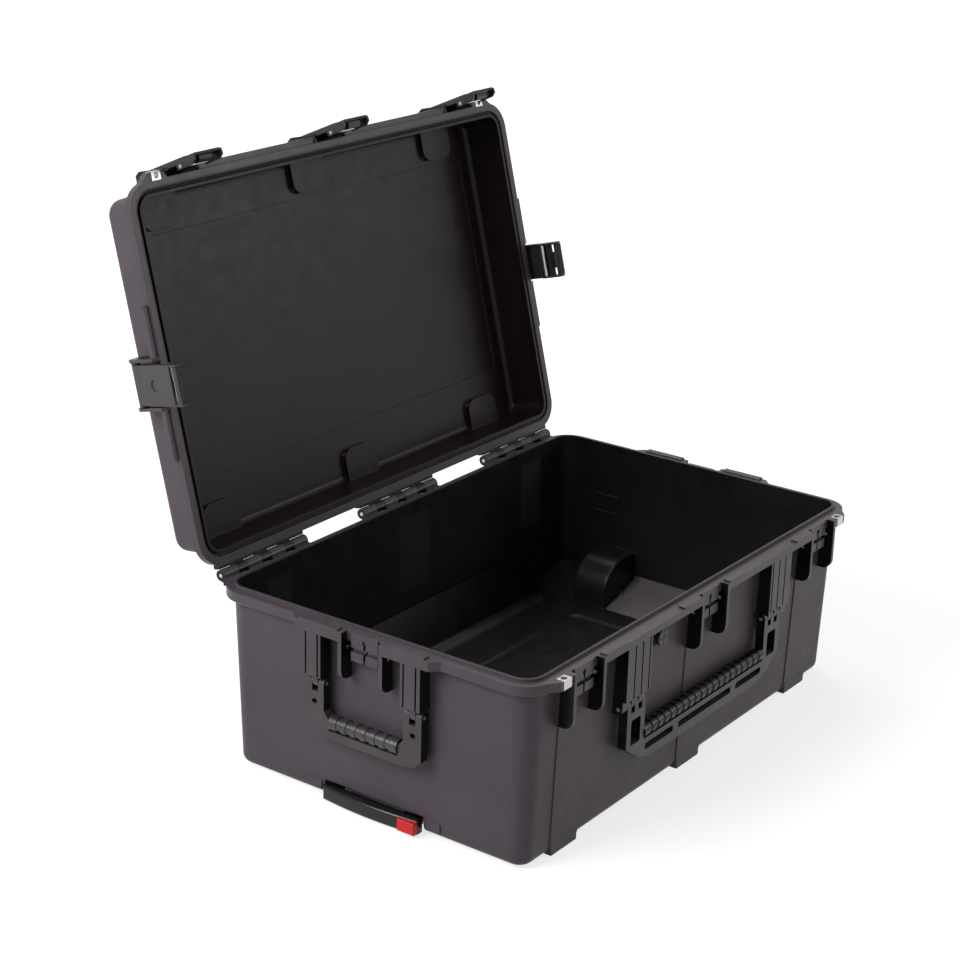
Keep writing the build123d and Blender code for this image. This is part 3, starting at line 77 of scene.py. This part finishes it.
class Finish:
    """A material under construction, with short calls for the nodes that the finishes share."""

    def __init__(self, name):
        self.mat = bpy.data.materials.new(name)
        self.mat.use_nodes = True
        self.tree = self.mat.node_tree
        self.tree.nodes.clear()
        self.out = self.node("ShaderNodeOutputMaterial")
        self.bsdf = self.node("ShaderNodeBsdfPrincipled")
        self.link(self.bsdf.outputs["BSDF"], self.out.inputs["Surface"])
        coords = self.node("ShaderNodeTexCoord")
        self.place, self.way = coords.outputs["Object"], coords.outputs["Normal"]

    def node(self, kind, **props):
        n = self.tree.nodes.new(kind)
        for k, v in props.items():
            setattr(n, k, v)
        return n

    def link(self, a, b):
        self.tree.links.new(a, b)

    def put(self, socket, value):
        if isinstance(value, bpy.types.NodeSocket):
            self.link(value, socket)
        else:
            socket.default_value = value

    def math(self, op, a, b=None, c=None):
        n = self.node("ShaderNodeMath", operation=op)
        for i, v in enumerate((a, b, c)):
            if v is not None:
                self.put(n.inputs[i], v)
        return n.outputs[0]

    def noise(self, scale, detail=2.0, rough=0.5, stretch=None):
        where = self.place
        if stretch:
            m = self.node("ShaderNodeMapping")
            m.inputs["Scale"].default_value = stretch
            self.link(where, m.inputs["Vector"])
            where = m.outputs[0]
        n = self.node("ShaderNodeTexNoise")
        n.inputs["Scale"].default_value = scale
        n.inputs["Detail"].default_value = detail
        n.inputs["Roughness"].default_value = rough
        self.link(where, n.inputs["Vector"])
        return n.outputs["Fac"]

    def cells(self, scale):
        n = self.node("ShaderNodeTexVoronoi", feature="SMOOTH_F1")
        n.inputs["Scale"].default_value = scale
        self.link(self.place, n.inputs["Vector"])
        return n.outputs["Distance"]

    def span(self, value, a, b, low, high):
        n = self.node("ShaderNodeMapRange")
        self.put(n.inputs["Value"], value)
        for name, v in (("From Min", a), ("From Max", b), ("To Min", low), ("To Max", high)):
            self.put(n.inputs[name], v)
        return n.outputs[0]

    def spread(self, noise, low, high):
        """Noise, most of which lies between 0.3 and 0.7, spread from low to high."""
        return self.span(noise, 0.3, 0.7, low, high)

    def mix(self, fac, a, b):
        n = self.node("ShaderNodeMix", data_type="RGBA")
        self.put(n.inputs["Factor"], fac)
        self.put(n.inputs["A"], a)
        self.put(n.inputs["B"], b)
        return n.outputs["Result"]

    def soft_normal(self, radius):
        """The normal with edges rounded by radius."""
        bevel = self.node("ShaderNodeBevel", samples=4)
        bevel.inputs["Radius"].default_value = radius
        return bevel.outputs[0]

    def soft_edges(self, radius):
        """The normal with edges rounded by radius, and a mask of those edges."""
        normal = self.soft_normal(radius)
        geo = self.node("ShaderNodeNewGeometry")
        dot = self.node("ShaderNodeVectorMath", operation="DOT_PRODUCT")
        self.link(normal, dot.inputs[0])
        self.link(geo.outputs["Normal"], dot.inputs[1])
        return normal, self.span(dot.outputs["Value"], *EDGE_SEEN, 0.0, 1.0)

    def bump(self, height, strength, distance, normal=None):
        n = self.node("ShaderNodeBump")
        n.inputs["Strength"].default_value = strength
        n.inputs["Distance"].default_value = distance
        self.put(n.inputs["Height"], height)
        if normal is not None:
            self.link(normal, n.inputs["Normal"])
        return n.outputs[0]

    def set(self, **values):
        for name, v in values.items():
            self.put(self.bsdf.inputs[name.replace("_", " ")], v)


def walls(f, place, is_lid):
    """Two masks from the drafted walls: what lies in the cavity, and what stands proud of the walls."""
    xyz = f.node("ShaderNodeSeparateXYZ")
    f.link(place, xyz.inputs[0])
    x, y, z = (xyz.outputs[i] for i in range(3))
    flat_x, flat_y = f.math("ABSOLUTE", x), f.math("ABSOLUTE", y)
    if is_lid:
        lean = f.math("MULTIPLY", f.math("MAXIMUM", f.math("SUBTRACT", z, LID_MOUTH), 0.0), LID_DRAFT)
        mid_y = sum(LID_PANEL_Y) / 2
        off_mid = f.math("ABSOLUTE", f.math("SUBTRACT", y, mid_y))
        panel = f.math("MULTIPLY", f.math("LESS_THAN", flat_x, LID_PANEL_X),
                       f.math("LESS_THAN", off_mid, LID_PANEL_Y[1] - mid_y))
        station = f.math("ABSOLUTE", f.math("WRAP", x, NEST_PITCH / 2, -NEST_PITCH / 2))
        nest = f.math("MULTIPLY", f.math("LESS_THAN", station, NEST_HALF),
                      f.math("GREATER_THAN", flat_y, NEST_Y))
        top = f.math("ADD", f.span(panel, 0.0, 1.0, LID_TOP_MID, LID_PANEL_MID),
                     f.math("MULTIPLY", nest, NEST_MID - LID_TOP_MID))
        inner = f.math("LESS_THAN", z, top)
    else:
        lean = f.math("MULTIPLY", f.math("MAXIMUM", f.math("SUBTRACT", RIM_UNDER, z), 0.0), BASE_DRAFT)
        inner = f.math("GREATER_THAN", z, FLOOR_MID)
    over_x = f.math("MAXIMUM", f.math("SUBTRACT", flat_x, CORNER_X), 0.0)
    over_y = f.math("MAXIMUM", f.math("SUBTRACT", flat_y, CORNER_Y), 0.0)
    squares = f.math("MULTIPLY_ADD", over_x, over_x, f.math("MULTIPLY", over_y, over_y))
    out = f.math("ADD", f.math("SQRT", squares), lean)
    inner = f.math("MULTIPLY", inner, f.math("LESS_THAN", out, WALL_MID_R))
    return inner, f.math("GREATER_THAN", out, WALL_OUT_R + PROUD)


def closed_lid(f, vector, centre):
    """A place or a direction turned back to how the lid lies when it is closed."""
    turn = f.node("ShaderNodeVectorRotate", rotation_type="X_AXIS")
    turn.inputs["Center"].default_value = centre
    turn.inputs["Angle"].default_value = LID_OPEN
    f.link(vector, turn.inputs["Vector"])
    return turn.outputs[0]


def rib_shade_mask(f, place, normal, hinge=1.0):
    """Where painted shade goes: 1 on the faces of ribs, fins and arms that look along the wall they stand
    on, 0 on the others.

    The hinge side's knuckles and webs count by the share that hinge gives."""
    at, way = f.node("ShaderNodeSeparateXYZ"), f.node("ShaderNodeSeparateXYZ")
    f.link(place, at.inputs[0])
    f.link(normal, way.inputs[0])
    end = f.math("GREATER_THAN", f.math("ABSOLUTE", at.outputs[0]), WALL_OUT_X)
    along = f.node("ShaderNodeMix", data_type="FLOAT")
    f.put(along.inputs["Factor"], end)
    f.put(along.inputs["A"], f.math("ABSOLUTE", way.outputs[0]))
    f.put(along.inputs["B"], f.math("ABSOLUTE", way.outputs[1]))
    behind = f.math("MULTIPLY", f.math("GREATER_THAN", at.outputs[1], HINGE_SIDE), hinge)
    return f.math("MAXIMUM", f.span(along.outputs["Result"], 0.75, 0.95, 0.0, 1.0), behind)


def region(f, place, low, high):
    """1 inside a box and inside its mirror image on the other long side of the case, 0 elsewhere."""
    at = f.node("ShaderNodeSeparateXYZ")
    f.link(place, at.inputs[0])
    found = 1.0
    for value, a, b in zip((at.outputs[0], f.math("ABSOLUTE", at.outputs[1]), at.outputs[2]), low, high):
        for test, bound in (("GREATER_THAN", a), ("LESS_THAN", b)):
            found = f.math("MULTIPLY", found, f.math(test, value, bound))
    return found


def shell_plastic(name, is_lid, core):
    """Moulded plastic: fine matt grain on the outer walls, smoother on rims, ribs and inside.

    Darker inside, and darker still in the base's cavity as painted shade; painted shade, near black, on the
    faces of ribs and fins that look along their wall and on the hinge knuckles; edges lighter as wear and as
    a painted highlight.
    """
    f = Finish(name)
    place, way = f.place, f.way
    if is_lid:
        place, way = closed_lid(f, place, (0, HINGE_Y, HINGE_Z)), closed_lid(f, way, (0, 0, 0))
    inner, proud = walls(f, place, is_lid)
    side = f.math("MULTIPLY", proud, rib_shade_mask(f, place, way, 1.0 if is_lid else BASE_HINGE_SHARE))
    cloud = f.noise(6.0, 3.0)
    patch = f.noise(38.0, 4.0, 0.6)
    fine = f.noise(420.0, 2.0)
    drift = f.spread(cloud, 0.0, 1.0)
    outer = f.mix(drift, lin(*OUTER_DARK), lin(*OUTER_PALE))
    smooth = f.mix(drift, lin(*PROUD_DARK), lin(*PROUD_PALE))
    # The cavity's own tone; the base's is painted darker as the shade deep in it
    inside = f.mix(drift, lin(*core[0]), lin(*core[1]))
    # Painted shade, near black, on the faces of ribs and fins that look along their wall and on the hinge
    # knuckles
    smooth = f.mix(side, smooth, lin(*SIDE_PAINTED_SHADE))
    gloss = f.span(inner, 0.0, 1.0, BASE_GLOSS, LID_GLOSS) if is_lid else BASE_GLOSS
    # Boxes in the cavity with tones of their own: painted shade on the coved rails, a painted reflection on
    # the ramp, pale panels
    for low, high, tone, shine in core[2]:
        there = f.math("MULTIPLY", inner, region(f, place, low, high))
        inside = f.mix(there, inside, lin(*tone))
        gloss = f.span(there, 0.0, 1.0, gloss, shine)
    colour = f.mix(inner, f.mix(proud, outer, smooth), inside)
    normal, edge = f.soft_edges(0.0012)
    # Edges lighter, partly as wear and partly as a painted highlight along them
    edge_wear_highlight = f.math("MULTIPLY", edge, f.span(patch, 0.35, 0.65, 0.1, 0.5))
    f.set(Base_Color=f.mix(edge_wear_highlight, colour, lin(*SHELL_EDGE_WEAR_HIGHLIGHT)), Specular_IOR_Level=gloss)
    plain = f.math("MAXIMUM", inner, proud)
    rough_out = f.spread(patch, 0.46, 0.55)
    rough_plain = f.math("ADD", f.spread(patch, 0.26, 0.38), f.math("MULTIPLY", fine, 0.04))
    rough = f.node("ShaderNodeMix", data_type="FLOAT")
    f.put(rough.inputs["Factor"], plain)
    f.put(rough.inputs["A"], rough_out)
    f.put(rough.inputs["B"], rough_plain)
    f.set(Roughness=rough.outputs["Result"])
    grain = f.math("ADD", f.noise(1500.0, 2.0), f.math("MULTIPLY", f.cells(1100.0), 0.7))
    grain = f.math("MULTIPLY", grain, f.span(plain, 0.0, 1.0, 1.0, 0.35))
    depth = f.bump(grain, 0.35, 0.0003, normal)
    f.set(Normal=f.bump(f.noise(14.0, 1.0), 0.14, 0.002, depth))
    return f.mat


def smooth_plastic(name, dark, pale, rough, sides=False):
    """Harder moulded plastic of the latches, handles and trim."""
    f = Finish(name)
    cloud = f.noise(22.0, 3.0)
    patch = f.noise(90.0, 3.0, 0.6)
    normal, edge = f.soft_edges(0.0009)
    # Edges lighter, partly as wear and partly as a painted highlight along them
    edge_wear_highlight = f.math("MULTIPLY", edge, f.span(patch, 0.35, 0.65, 0.1, 0.6))
    colour = f.mix(f.spread(cloud, 0.0, 1.0), lin(*dark), lin(*pale))
    # Painted shade, near black, on the faces that look along the wall they stand on
    if sides:
        colour = f.mix(rib_shade_mask(f, f.place, f.way), colour, lin(*SIDE_PAINTED_SHADE))
    f.set(Base_Color=f.mix(edge_wear_highlight, colour, lin(*FITTING_EDGE_WEAR_HIGHLIGHT)), Specular_IOR_Level=0.35)
    f.set(Roughness=f.spread(patch, rough - 0.05, rough + 0.07))
    f.set(Normal=f.bump(f.noise(1400.0, 2.0), 0.25, 0.0002, normal))
    return f.mat


def rubber(name, dark, pale, rough, grain, depth, gloss=0.5):
    """Pebbled rubber: grain is how fine its pits are, depth how strongly they show."""
    f = Finish(name)
    cloud = f.noise(30.0, 3.0)
    f.set(Base_Color=f.mix(f.spread(cloud, 0.0, 1.0), lin(*dark), lin(*pale)))
    f.set(Specular_IOR_Level=gloss)
    f.set(Roughness=f.spread(f.noise(120.0, 3.0), rough - 0.06, rough + 0.08))
    normal = f.soft_normal(0.0008)
    pits = f.math("ADD", f.cells(grain), f.math("MULTIPLY", f.noise(2200.0), 0.5))
    f.set(Normal=f.bump(pits, depth, 0.0003, normal))
    return f.mat


def gloss_plastic(name, dark, pale, rough, coat=0.0):
    """Polished plastic with faint waves, of the tow grip and its button."""
    f = Finish(name)
    cloud = f.noise(18.0, 3.0)
    f.set(Base_Color=f.mix(f.span(cloud, 0.35, 0.65, 0.0, 1.0), lin(*dark), lin(*pale)))
    f.set(Roughness=f.spread(f.noise(160.0, 4.0), rough - 0.03, rough + 0.07))
    f.set(Coat_Weight=coat, Coat_Roughness=0.08, Specular_IOR_Level=0.3)
    normal = f.soft_normal(0.0012)
    f.set(Normal=f.bump(f.noise(60.0, 2.0), 0.08, 0.0006, normal))
    return f.mat


def metal(name, tint, rough):
    """Bright metal with fine streaks along the case's length."""
    f = Finish(name)
    streak = f.noise(1.0, 3.0, 0.6, stretch=(40.0, 900.0, 900.0))
    f.set(Metallic=1.0)
    shade = [c - STREAK_SHADE for c in tint]
    f.set(Base_Color=f.mix(f.spread(streak, 0.0, 1.0), lin(*shade), lin(*tint)))
    f.set(Roughness=f.spread(streak, rough - 0.07, rough + 0.1))
    normal = f.soft_normal(0.0005)
    f.set(Normal=f.bump(streak, 0.12, 0.0002, normal))
    return f.mat


BASE_GLOSS, LID_GLOSS = 0.28, 0.16
OUTER_DARK, OUTER_PALE = (68, 60, 67), (78, 70, 77)
PROUD_DARK, PROUD_PALE = (67, 60, 66), (79, 72, 78)
# Painted shade: near black on the sides of ribs, fins and handle arms and on the hinge knuckles
SIDE_PAINTED_SHADE = (5, 5, 6)
BASE_HINGE_SHARE = 0.2   # how far the base's knuckles go to that painted shade; the lid's go all the way
# The cavity's dark and pale tone, painted darker as the shade deep in the cavity, and boxes inside it with a
# tone
# and a gloss of their own (low corner, high corner, tone, gloss): the coved rails, near black as painted
# shade, the wheel end ramp, pale as a painted reflection, and three pale panels high on the long walls.
BASE_CAVITY_SHADE_AND_LIGHT = ((19, 18, 20), (27, 25, 28), [
    # the coved rails: painted shade, near black, where their slope would show lit
    ((-0.38, 0.198, 0.040), (0.2725, 0.24, 0.1005), (7, 7, 8), 0.12),
    # the wheel end ramp: pale as a painted reflection
    ((0.2955, -0.01, 0.0302), (0.38, 0.0936, 0.06), (98, 92, 96), 0.28),
    ((-0.032, 0.205, 0.125), (0.034, 0.24, 0.236), (38, 36, 38), 0.28),
    ((-0.312, 0.205, 0.135), (-0.262, 0.24, 0.236), (38, 36, 38), 0.28),
    ((0.262, 0.205, 0.135), (0.312, 0.24, 0.236), (42, 40, 42), 0.28),
])
LID_CORE = ((28, 19, 20), (35, 26, 27), [])

FINISHES = {
    "shell_plastic": shell_plastic("shell_base_moulded", False, BASE_CAVITY_SHADE_AND_LIGHT),
    "fitting_plastic": smooth_plastic("fitting_moulded", (40, 36, 39), (54, 50, 53), 0.34),
    "trigger_plastic": smooth_plastic("trigger_moulded", (26, 24, 26), (36, 34, 36), 0.32),
    # The end grips' rubber, made lighter than the front grip's as painted light where they face the key lamp
    "grip_rubber": rubber("grip_rubber_pebbled", (48, 44, 47), (60, 56, 59), 0.27, 900.0, 0.25),
    "tow_gloss": gloss_plastic("tow_grip_gloss", (9, 9, 10), (14, 14, 15), 0.14, coat=0.15),
    "button_red": gloss_plastic("button_red_satin", (212, 34, 38), (226, 44, 46), 0.3),
    "steel": metal("steel_brushed", (205, 202, 198), 0.34),
    "tube_aluminium": metal("tube_drawn", (188, 190, 194), 0.3),
    "gasket_rubber": rubber("gasket_foamed", (20, 20, 21), (30, 30, 31), 0.8, 1600.0, 0.5),
    "wheel_tyre": rubber("tyre_cast", (26, 26, 27), (36, 36, 37), 0.7, 500.0, 0.5),
}
# Handle frames, with painted shade on the sides of their arms
HANDLE_FRAME = smooth_plastic("handle_moulded", (56, 51, 56), (68, 63, 68), 0.34, sides=True)
# The same rubber as the end grips, painted darker as a shaded copy for the front grip
FRONT_GRIP_SHADED = rubber("grip_rubber_ribbed_shaded", (15, 14, 15), (22, 20, 22), 0.2, 900.0, 0.25, gloss=0.25)
LID_SHELL = shell_plastic("shell_lid_moulded", True, LID_CORE)

for entry in frame["record"]["subparts"]:
    name = entry["node"]
    data = NODES[name].data
    data.materials.clear()
    finish = FINISHES[entry["material_slot"]]
    if name == "lid_shell":
        finish = LID_SHELL
    elif name == "grip_front":
        finish = FRONT_GRIP_SHADED
    elif name.startswith("handle_") and name != "handle_pins":
        finish = HANDLE_FRAME
    data.materials.append(finish)


# ---------------------------------------------------------------- level marks on the inner walls

MARK_H, MARK_PROUD, MARK_SUNK, MARK_EDGE = 0.0016, 0.0008, 0.0004, 0.0004
SHELL_WALL = 0.004
# Each mark: the wall it is on, its middle along the wall, its height, its length.
MARKS = [("end", 0.1522, 0.1763, 0.041), ("end", 0.1510, 0.1500, 0.041),
         ("back", 0.2965, 0.126, 0.043), ("back", 0.2965, 0.096, 0.043), ("back", 0.2965, 0.071, 0.043)]


def level_marks():
    """Small raised lines with bevelled edges, on the end wall and the back wall inside the base."""
    verts, faces = [], []
    for wall, mid, z, length in MARKS:
        lean = (RIM_UNDER - z) * BASE_DRAFT
        face = (WALL_OUT_X if wall == "end" else WALL_OUT_Y) - lean - SHELL_WALL
        rings = []
        for inset, depth in ((0.0, -MARK_SUNK), (0.0, MARK_PROUD - MARK_EDGE), (MARK_EDGE, MARK_PROUD)):
            ring = []
            for along, up in ((-1, -1), (1, -1), (1, 1), (-1, 1)):
                s = mid + along * (length / 2 - inset)
                h = z + up * (MARK_H / 2 - inset)
                out = face - depth - (z - h) * BASE_DRAFT
                ring.append(len(verts))
                verts.append((out, s, h) if wall == "end" else (s, out, h))
            rings.append(ring)
        turn = 1 if wall == "end" else -1
        for a, b in zip(rings, rings[1:]):
            for i in range(4):
                j = (i + 1) % 4
                faces.append((a[i], b[i], b[j], a[j])[::turn])
        faces.append(tuple(rings[-1][::-turn]))
        faces.append(tuple(rings[0][::turn]))
    mesh = bpy.data.meshes.new("level_marks")
    mesh.from_pydata(verts, [], faces)
    piece = bpy.data.objects.new("level_marks", mesh)
    bpy.context.scene.collection.objects.link(piece)
    mesh.materials.append(smooth_plastic("level_mark_moulded", (30, 28, 30), (40, 37, 40), 0.30))
    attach(piece, "base")


level_marks()

# ---------------------------------------------------------------- floor, light and camera


FLOOR_HALF = 12.0
FLOOR_GREY = (0.42, 0.42, 0.42, 1)   # how the floor takes the lamps' light
NEAR_GLOW = 0.73                     # the floor's own white near the case, where it keeps the shadow
GLOW_NEAR, GLOW_FAR = 0.7, 2.6       # between these distances from the case it rises to full white
SKY_LIGHT, SKY_TINT = 0.30, (0.98, 0.98, 1.0, 1)    # what the surroundings give the matt surfaces
SKY_GLOW = 0.8           # how bright the surroundings are in reflections; the camera sees them white


def studio_floor():
    """A pale floor that shows white to the camera and keeps the soft shadow of the case."""
    mesh = bpy.data.meshes.new("studio_floor")
    corners = [(x * FLOOR_HALF, y * FLOOR_HALF, 0) for x, y in ((-1, -1), (1, -1), (1, 1), (-1, 1))]
    mesh.from_pydata(corners, [], [(0, 1, 2, 3)])
    floor = bpy.data.objects.new("studio_floor", mesh)
    bpy.context.scene.collection.objects.link(floor)
    mat = bpy.data.materials.new("studio_floor_pale")
    mat.use_nodes = True
    tree = mat.node_tree
    tree.nodes.clear()
    out = tree.nodes.new("ShaderNodeOutputMaterial")
    diffuse = tree.nodes.new("ShaderNodeBsdfDiffuse")
    diffuse.inputs["Color"].default_value = FLOOR_GREY
    glow = tree.nodes.new("ShaderNodeEmission")
    path = tree.nodes.new("ShaderNodeLightPath")
    seen = tree.nodes.new("ShaderNodeMath")
    seen.operation = "MAXIMUM"
    tree.links.new(path.outputs["Is Camera Ray"], seen.inputs[0])
    tree.links.new(path.outputs["Is Glossy Ray"], seen.inputs[1])
    where = tree.nodes.new("ShaderNodeNewGeometry")
    away = tree.nodes.new("ShaderNodeVectorMath")
    away.operation = "LENGTH"
    tree.links.new(where.outputs["Position"], away.inputs[0])
    reach = tree.nodes.new("ShaderNodeMapRange")
    reach.interpolation_type = "SMOOTHSTEP"
    ends = (("From Min", GLOW_NEAR), ("From Max", GLOW_FAR), ("To Min", NEAR_GLOW), ("To Max", 1.0))
    for socket, v in ends:
        reach.inputs[socket].default_value = v
    tree.links.new(away.outputs["Value"], reach.inputs["Value"])
    level = tree.nodes.new("ShaderNodeMath")
    level.operation = "MULTIPLY"
    tree.links.new(reach.outputs[0], level.inputs[1])
    tree.links.new(seen.outputs[0], level.inputs[0])
    tree.links.new(level.outputs[0], glow.inputs["Strength"])
    both = tree.nodes.new("ShaderNodeAddShader")
    tree.links.new(diffuse.outputs[0], both.inputs[0])
    tree.links.new(glow.outputs[0], both.inputs[1])
    tree.links.new(both.outputs[0], out.inputs["Surface"])
    mesh.materials.append(mat)


def studio_world():
    """Soft light from all round for matt surfaces, a brighter sky in reflections, white to the camera."""
    world = bpy.data.worlds.new("studio")
    bpy.context.scene.world = world
    world.use_nodes = True
    tree = world.node_tree
    tree.nodes.clear()
    out = tree.nodes.new("ShaderNodeOutputWorld")
    lit = tree.nodes.new("ShaderNodeBackground")
    lit.inputs["Color"].default_value = SKY_TINT
    lit.inputs["Strength"].default_value = SKY_LIGHT
    seen = tree.nodes.new("ShaderNodeBackground")
    seen.inputs["Color"].default_value = (1, 1, 1, 1)
    path = tree.nodes.new("ShaderNodeLightPath")
    white = tree.nodes.new("ShaderNodeMath")
    white.operation = "MULTIPLY_ADD"
    white.inputs[1].default_value, white.inputs[2].default_value = 1.0 - SKY_GLOW, SKY_GLOW
    tree.links.new(path.outputs["Is Camera Ray"], white.inputs[0])
    tree.links.new(white.outputs[0], seen.inputs["Strength"])
    mix = tree.nodes.new("ShaderNodeMixShader")
    both = tree.nodes.new("ShaderNodeMath")
    both.operation = "MAXIMUM"
    tree.links.new(path.outputs["Is Camera Ray"], both.inputs[0])
    tree.links.new(path.outputs["Is Glossy Ray"], both.inputs[1])
    tree.links.new(both.outputs[0], mix.inputs["Fac"])
    tree.links.new(lit.outputs[0], mix.inputs[1])
    tree.links.new(seen.outputs[0], mix.inputs[2])
    tree.links.new(mix.outputs[0], out.inputs["Surface"])


def softbox(name, at, aim, width, height, power):
    """A lamp of width by height, in watts, that stands at one place and looks at another."""
    data = bpy.data.lights.new(name, "AREA")
    data.shape = "RECTANGLE"
    data.size, data.size_y, data.energy = width, height, power
    lamp = bpy.data.objects.new(name, data)
    lamp.location = at
    lamp.rotation_mode = "QUATERNION"
    lamp.rotation_quaternion = (Vector(aim) - Vector(at)).to_track_quat("-Z", "Y")
    bpy.context.scene.collection.objects.link(lamp)


studio_floor()
studio_world()
softbox("key", (-2.5, 0.9, 2.0), (-0.2, 0, 0.2), 1.5, 1.5, 74)
softbox("fill", (2.2, -2.5, 1.4), (0, 0, 0.3), 1.8, 1.3, 22)
softbox("top_back", (0.9, 1.5, 2.7), (0, 0.1, 0.2), 2.0, 1.2, 26)

# The camera as the photograph was taken: place, direction and roll worked out from it.
EYE = Vector((-2.29534, -1.52842, 1.35234))
CAMERA_RIGHT = Vector((0.590381, -0.806743, 0.024812))
CAMERA_UP = Vector((0.264507, 0.222429, 0.938382))
CAMERA_BACK = Vector((-0.762552, -0.547440, 0.344707))
LENS, SENSOR = 82.679, 36.0

camera = bpy.data.objects.new("camera", bpy.data.cameras.new("camera"))
camera.data.sensor_width = SENSOR
camera.data.lens = LENS
camera.data.clip_start, camera.data.clip_end = 0.05, 60
turn = Matrix((CAMERA_RIGHT, CAMERA_UP, CAMERA_BACK)).transposed().to_4x4()
camera.matrix_world = Matrix.Translation(EYE) @ turn
bpy.context.scene.collection.objects.link(camera)
bpy.context.scene.camera = camera
bpy.context.scene.view_settings.view_transform = "Standard"
